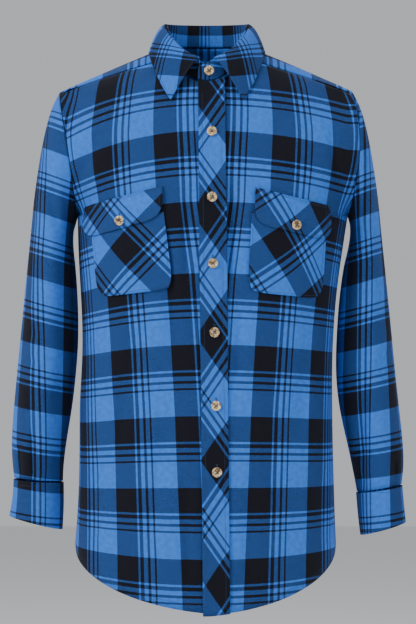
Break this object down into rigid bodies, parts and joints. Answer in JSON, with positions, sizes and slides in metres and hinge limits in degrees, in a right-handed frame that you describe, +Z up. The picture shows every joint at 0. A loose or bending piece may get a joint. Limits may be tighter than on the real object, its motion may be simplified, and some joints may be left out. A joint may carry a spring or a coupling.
{
  "type": "plaid flannel shirt, worn and hollow",
  "caption": "Long-sleeved plaid flannel button-front shirt with flap chest pockets and a shirt-tail hem, in its hollow worn form.",
  "frame": {"origin": "middle of the neck base, level with the tops of the shoulders, where the wearer holds the shirt up", "axes": "+Z up, the front faces -Y, +X is the wearer's left"},
  "size_m": [0.5735, 0.259, 0.8465],
  "materials": {
    "flannel": "brushed blue and black plaid twill flannel",
    "button": "glossy mottled horn-look resin"
  },
  "bodies": {
    "root": {"back": "flannel", "yoke": "flannel", "front_right": "flannel", "front_left": "flannel", "placket": "flannel", "collar_stand": "flannel", "collar": "flannel", "sleeve_right": "flannel", "cuff_right": "flannel", "sleeve_placket_right": "flannel", "pocket_right": "flannel", "flap_right": "flannel", "flap_button_right": "button", "sleeve_left": "flannel", "cuff_left": "flannel", "sleeve_placket_left": "flannel", "pocket_left": "flannel", "flap_left": "flannel", "flap_button_left": "button", "collar_button": "button", "front_button_1": "button", "front_button_2": "button", "front_button_3": "button", "front_button_4": "button", "front_button_5": "button", "front_button_6": "button"}
  },
  "joints": []
}
